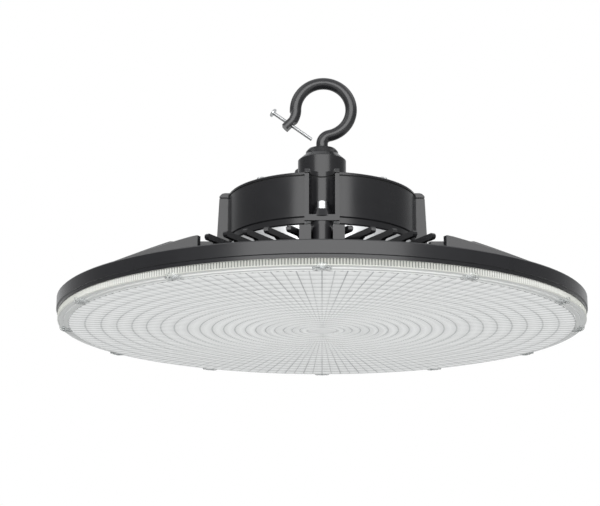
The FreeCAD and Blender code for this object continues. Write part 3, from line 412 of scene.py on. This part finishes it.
stainless, stainless_shader = new_material("bright_stainless_steel", "#c9cacb", 0.24, Metallic=1.0)
grain(stainless, stainless_shader, size_mm=0.25, depth_mm=0.004, strength=0.5,
      low="#c2c3c4", high="#d2d3d4", rough=(0.2, 0.32))


def cap_open_top(mesh, rim_over_mm, inset_mm):
    """Closes a screw's open top with one face, insets it and returns it, to be shaped and sunk."""
    rim = [edge for edge in mesh.edges
           if edge.is_boundary and all(vert.co.xy.length > rim_over_mm * MM for vert in edge.verts)]
    top = bmesh.ops.holes_fill(mesh, edges=rim, sides=0)["faces"][0]
    bmesh.ops.inset_individual(mesh, faces=[top], thickness=inset_mm * MM, depth=0)
    return top


def pan_head(head_mm, height_mm, shank_mm, length_mm, seat_mm, up, steps):
    """A pan-head screw with a four-armed recess, from the radii of its head and its shank.

    Up is 1 where the head is on top of the seat, and -1 where it is below it."""
    mesh = turned([
        (0.001, -length_mm * up), (shank_mm * 0.8, -length_mm * up), (shank_mm, -(length_mm - 0.6) * up),
        (shank_mm, 0), (head_mm * 0.97, 0), (head_mm, 0.12 * up), (head_mm, height_mm * 0.55 * up),
        (head_mm * 0.9, height_mm * 0.85 * up), (head_mm * 0.66, height_mm * up)], steps)
    top = cap_open_top(mesh, 0.1, head_mm * 0.12)
    for vert in top.verts:
        arm = abs(math.cos(2 * math.atan2(vert.co.y, vert.co.x))) ** 6
        vert.co.xy *= RECESS_WAIST + (1 - RECESS_WAIST) * arm
    sunk = bmesh.ops.extrude_discrete_faces(mesh, faces=[top])["faces"][0]
    for vert in sunk.verts:
        vert.co.z -= height_mm * 0.5 * up * MM
        vert.co.xy *= RECESS_FLOOR
    close_up(mesh, 0.002)
    bmesh.ops.translate(mesh, verts=mesh.verts, vec=Vector((0, 0, seat_mm * MM)))
    return mesh


def socket_cap_screw(seat):
    """A socket cap screw with a knurled head, its seat at a height in metres."""
    mesh = turned([(0.001, -49.9), (2.4, -49.9), (2.95, -49.3), (2.95, 0), (5.0, 0), (5.15, 0.2),
                   (5.15, 5.4), (4.75, 5.95), (3.4, 5.95)], KNURL_STEPS)
    top = cap_open_top(mesh, 1, 0.1)
    for vert in top.verts:
        turn = (math.atan2(vert.co.y, vert.co.x) + math.tau / 12) % (math.tau / 6) - math.tau / 12
        vert.co.xy = vert.co.xy.normalized() * SOCKET_HALF_WIDTH * MM / math.cos(turn)
    sunk = bmesh.ops.extrude_discrete_faces(mesh, faces=[top])["faces"][0]
    for vert in sunk.verts:
        vert.co.z -= SOCKET_DEPTH * MM
    for vert in mesh.verts:
        on_side = 1 * MM < vert.co.z < 5.2 * MM and vert.co.xy.length > 5 * MM
        if on_side and step_round(vert, KNURL_STEPS) % 2:
            vert.co.xy *= KNURL_WAIST
    close_up(mesh, 0.002)
    bmesh.ops.translate(mesh, verts=mesh.verts, vec=Vector((0, 0, seat)))
    return mesh


def placed_round(mesh, circle_mm, count, start=0.0):
    """Moves a screw out to its circle and copies it round."""
    bmesh.ops.translate(mesh, verts=mesh.verts, vec=Vector((circle_mm * MM, 0, 0)))
    copies_round(mesh, count, start)
    return mesh


def steel_piece(name, mesh, node):
    """A finished stainless piece that takes the place of a packed one."""
    thing = piece(name, mesh, stainless, smooth_below=35)
    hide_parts(node)


lens_screw = pan_head(head_mm=3.25, height_mm=2.15, shank_mm=1.85, length_mm=8.9, seat_mm=3.1, up=-1,
                      steps=16)
steel_piece("lens_pan_screws", placed_round(lens_screw, BOSS_CIRCLE, BOSS_COUNT), "lens_screws")
cover_screw = pan_head(head_mm=3.95, height_mm=2.35, shank_mm=1.95, length_mm=11.8, seat_mm=103.2, up=1,
                       steps=24)
steel_piece("cover_pan_screws", placed_round(cover_screw, COVER_SCREW_CIRCLE, 4, 45), "cover_screws")
cap_screw = socket_cap_screw(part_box("housing_screws")[1].z - CAP_HEAD_HEIGHT * MM)
steel_piece("housing_cap_screws", placed_round(cap_screw, CAP_SCREW_CIRCLE, 4), "housing_screws")
finish_cad(stainless, "board_screws", "driver_screws", "hook_washer", "hook_nut")


# ---- Driver base: a cast aluminium ring left bare under the housing ----
# Sand-blasted and not coated, so it shows pale and matt between the black fins.

bare_aluminium, bare_shader = new_material("bare_blasted_aluminium", "#e6e7e8", 0.5, Metallic=1.0)
grain(bare_aluminium, bare_shader, size_mm=0.4, depth_mm=0.02, strength=0.6,
      low="#dfe0e1", high="#eeeff0", rough=(0.42, 0.58))
finish_cad(bare_aluminium, "driver_base")


# ---- Driver housing, cover and hook base: die cast like the heat sink ----
# They have the same powder coat. The cover is held by screws from above, with a gasket under it.

finish_cad(powder_coat, "driver_housing", "housing_cover", "hook_base")


# ---- Seals, driver and terminals: moulded rubber, potting and nylon inside the castings ----
# The black silicone of the gasket shows as a matt line under the cover. The grey seals are a little
# smoother, the driver's potted case is dull and dark, and the nylon has a waxy, off-white look.

rubber, rubber_shader = new_material("black_silicone_rubber", "#161617", 0.7)
grain(rubber, rubber_shader, size_mm=0.3, depth_mm=0.01, strength=0.5,
      low="#121213", high="#1b1b1c", rough=(0.62, 0.78))
finish_cad(rubber, "cover_gasket", "lead_grommet", "gland_seal")

grey_rubber, grey_shader = new_material("grey_silicone_rubber", "#8b8c8c", 0.6)
grain(grey_rubber, grey_shader, size_mm=0.3, depth_mm=0.01, strength=0.5,
      low="#858686", high="#939494", rough=(0.55, 0.68))
finish_cad(grey_rubber, "lens_seal", "base_seals")

potting, potting_shader = new_material("grey_potted_case", "#3b3d40", 0.55)
grain(potting, potting_shader, size_mm=0.6, depth_mm=0.02, strength=0.5,
      low="#37393c", high="#414346", rough=(0.5, 0.62))
finish_cad(potting, "driver_module")

white_nylon, nylon_shader = new_material("white_nylon", "#e4e2da", 0.45)
grain(white_nylon, nylon_shader, size_mm=0.4, depth_mm=0.01, strength=0.4,
      low="#e0ded6", high="#e9e7e0", rough=(0.4, 0.5))
finish_cad(white_nylon, "terminal_block", "lead_connector")


# ---- Hook: a bent steel rod with a black coating, and its threaded latch screw ----
# The rod is drawn steel, bent cold and dip coated, so it is smoother and glossier than the castings.
# The latch screw is stainless, slants across the mouth of the hook and has a full thread.

LATCH_RADIUS = 1.38
LATCH_CORE = 1.24
LATCH_LENGTH = 36
THREAD_DEPTH = 0.14
THREAD_PITCH = 0.8
THREAD_STEPS = 16
LATCH_SLOPE = math.radians(36)
LATCH_HEAD_RADIUS = 3.6 * MM
LATCH_HEAD_HEIGHT = 2.0 * MM

black_steel, steel_shader = new_material("black_coated_steel_rod", "#212123", 0.3, Coat_Weight=0.15)
grain(black_steel, steel_shader, size_mm=0.8, depth_mm=0.004, strength=0.1,
      low="#1e1e20", high="#242426", rough=(0.26, 0.34))
finish_cad(black_steel, "hook")


def thread(radius_mm, depth_mm, pitch_mm, length_mm, steps):
    """A round-crested thread: the outline of one turn is spun up along the axis."""
    mesh = bmesh.new()
    root = radius_mm - depth_mm
    flank = radius_mm - depth_mm * 0.2
    crest = outline(mesh, [(root, 0), (flank, pitch_mm * 0.3), (radius_mm, pitch_mm * 0.5),
                           (flank, pitch_mm * 0.7), (root, pitch_mm)])
    turns = int(length_mm / pitch_mm) - 1
    bmesh.ops.spin(mesh, geom=crest, cent=CENTRE, axis=AXIS, angle=math.tau * turns,
                   steps=steps * turns, dvec=Vector((0, 0, pitch_mm * MM / steps)))
    return mesh


latch = thread(LATCH_RADIUS, THREAD_DEPTH, THREAD_PITCH, LATCH_LENGTH, THREAD_STEPS)
close_up(latch)
core = turned_solid([(0.001, 0.0), (LATCH_CORE, 0.0), (LATCH_CORE, 35.2), (0.8, 35.9), (0.001, 35.9)], 16)
head = pan_head(head_mm=3.5, height_mm=1.95, shank_mm=1.2, length_mm=1.0, seat_mm=0.0, up=1, steps=24)
bmesh.ops.rotate(head, verts=head.verts, cent=CENTRE, matrix=Matrix.Rotation(math.pi, 3, "X"))
join_in(latch, core, head)
latch_low, latch_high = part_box("latch_screw")
cosine, sine = math.cos(LATCH_SLOPE), math.sin(LATCH_SLOPE)
latch_start = Vector((latch_low.x + LATCH_HEAD_HEIGHT * cosine + LATCH_HEAD_RADIUS * sine, 0,
                      latch_high.z - LATCH_HEAD_RADIUS * cosine - LATCH_HEAD_HEIGHT * sine))
latch_turn = Vector((cosine, 0, -sine)).to_track_quat("Z", "Y").to_matrix().to_4x4()
bmesh.ops.transform(latch, verts=latch.verts, matrix=Matrix.Translation(latch_start) @ latch_turn)
steel_piece("latch_screw_threaded", latch, "latch_screw")


# ---- Cable gland: moulded black nylon, with grip flutes round its dome nut ----
# Injection moulded and a little shiny. The flutes are for fingers and a spanner.

GLAND_FLUTES = 18
STEPS_PER_FLUTE = 4
FLUTE_WAIST = 0.95

black_nylon, black_nylon_shader = new_material("black_moulded_nylon", "#252526", 0.4)
grain(black_nylon, black_nylon_shader, size_mm=0.4, depth_mm=0.01, strength=0.4,
      low="#222223", high="#2a2a2b", rough=(0.35, 0.48))
finish_cad(black_nylon, "gland_body", "gland_locknut")

dome = turned([
    (9.35, 12.3), (9.35, 0.0), (10.9, 0.0), (11.35, 0.4), (11.35, 2.0), (11.35, 12.5), (11.0, 13.8),
    (9.9, 18.2), (9.1, 20.6), (7.9, 21.6), (6.6, 21.7), (5.7, 21.3), (5.65, 12.3), (9.35, 12.3)],
    GLAND_FLUTES * STEPS_PER_FLUTE)
close_up(dome)
for vert in dome.verts:
    on_grip = 1.9 * MM < vert.co.z < 12.6 * MM and vert.co.xy.length > 11 * MM
    if on_grip and step_round(vert, GLAND_FLUTES * STEPS_PER_FLUTE) % STEPS_PER_FLUTE == 0:
        vert.co.xy *= FLUTE_WAIST
gland_low, gland_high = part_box("gland_nut")
gland_place = Vector(((gland_low.x + gland_high.x) / 2, (gland_low.y + gland_high.y) / 2, gland_low.z))
bmesh.ops.translate(dome, verts=dome.verts, vec=gland_place)
dome_nut = piece("gland_dome_nut", dome, black_nylon, smooth_below=30)
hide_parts("gland_nut")


# ---- Studio: pale floor far below, white surroundings and soft boxes ----
# The lamp hangs free, so the floor is well under it and shows its upper side only. The surroundings
# light the lamp less from the sides, and look plain white to the camera and through the lens.

FLOOR_HALF_WIDTH = 14.0
FLOOR_HEIGHT = -0.5
AIM = Vector((0, 0, 0.08))

world = bpy.data.worlds.new("studio_surroundings")
bpy.context.scene.world = world
world.use_nodes = True
room = world.node_tree.nodes["Background"]
room.inputs["Color"].default_value = hex_colour("#f4f5f6")
direction = add_node(world, "ShaderNodeTexCoord").outputs["Generated"]
axes = add_node(world, "ShaderNodeSeparateXYZ", None, {"Vector": direction})
sideways = add_node(world, "ShaderNodeMath", {"operation": "ABSOLUTE"}, {0: axes.outputs["X"]})
brightness = add_node(world, "ShaderNodeMapRange",
                      {"From Min": 0.45, "From Max": 0.9, "To Min": 0.83, "To Max": 0.32},
                      {"Value": sideways.outputs[0]})
world.node_tree.links.new(brightness.outputs["Result"], room.inputs["Strength"])
white = add_node(world, "ShaderNodeBackground", {"Color": (1, 1, 1, 1), "Strength": 1.0})
ray = add_node(world, "ShaderNodeLightPath")
seen = add_node(world, "ShaderNodeMath", {"operation": "MAXIMUM"},
                {0: ray.outputs["Is Camera Ray"], 1: ray.outputs["Is Transmission Ray"]})
surroundings = add_node(world, "ShaderNodeMixShader", None,
                        {0: seen.outputs[0], 1: room.outputs[0], 2: white.outputs[0]})
show(world, "World Output", surroundings)

floor_mesh = bmesh.new()
bmesh.ops.create_grid(floor_mesh, x_segments=2, y_segments=2, size=FLOOR_HALF_WIDTH)
bmesh.ops.translate(floor_mesh, verts=floor_mesh.verts, vec=Vector((0, 0, FLOOR_HEIGHT)))
floor_data = bpy.data.meshes.new("studio_floor")
floor_mesh.to_mesh(floor_data)
floor_mesh.free()
floor = bpy.data.objects.new("studio_floor", floor_data)
bpy.context.scene.collection.objects.link(floor)
paper, paper_shader = new_material("pale_studio_paper", "#dedfde", 0.9)
side = add_node(paper, "ShaderNodeNewGeometry")
clear = add_node(paper, "ShaderNodeBsdfTransparent")
one_way = add_node(paper, "ShaderNodeMixShader", None,
                   {0: side.outputs["Backfacing"], 1: paper_shader.outputs["BSDF"],
                    2: clear.outputs["BSDF"]})
show(paper, "Material Output", one_way)
floor_data.materials.append(paper)


def soft_box(name, place, width, height, watts):
    """A large rectangular lamp that faces the middle of the object."""
    data = bpy.data.lights.new(name, "AREA")
    data.shape = "RECTANGLE"
    data.size = width
    data.size_y = height
    data.energy = watts
    lamp = bpy.data.objects.new(name, data)
    lamp.location = place
    lamp.rotation_euler = (AIM - Vector(place)).to_track_quat("-Z", "Y").to_euler()
    lamp.visible_camera = False
    bpy.context.scene.collection.objects.link(lamp)


soft_box("front_box", (0, -2.2, 0.62), width=2.9, height=1.3, watts=43)
soft_box("upper_left_box", (-2.0, -0.6, 2.0), width=1.6, height=1.6, watts=9)
soft_box("upper_right_box", (2.0, -0.2, 2.0), width=1.6, height=1.6, watts=9)

camera_data = bpy.data.cameras.new("camera")
camera_data.lens = 92.9
camera_data.sensor_width = 36
camera_data.shift_x = -0.0367
camera = bpy.data.objects.new("camera", camera_data)
camera.location = (0, -1.1268, -0.2306)
camera.rotation_euler = (math.radians(104.46), 0, 0)
bpy.context.scene.collection.objects.link(camera)
bpy.context.scene.camera = camera
bpy.context.scene.view_settings.view_transform = "Standard"
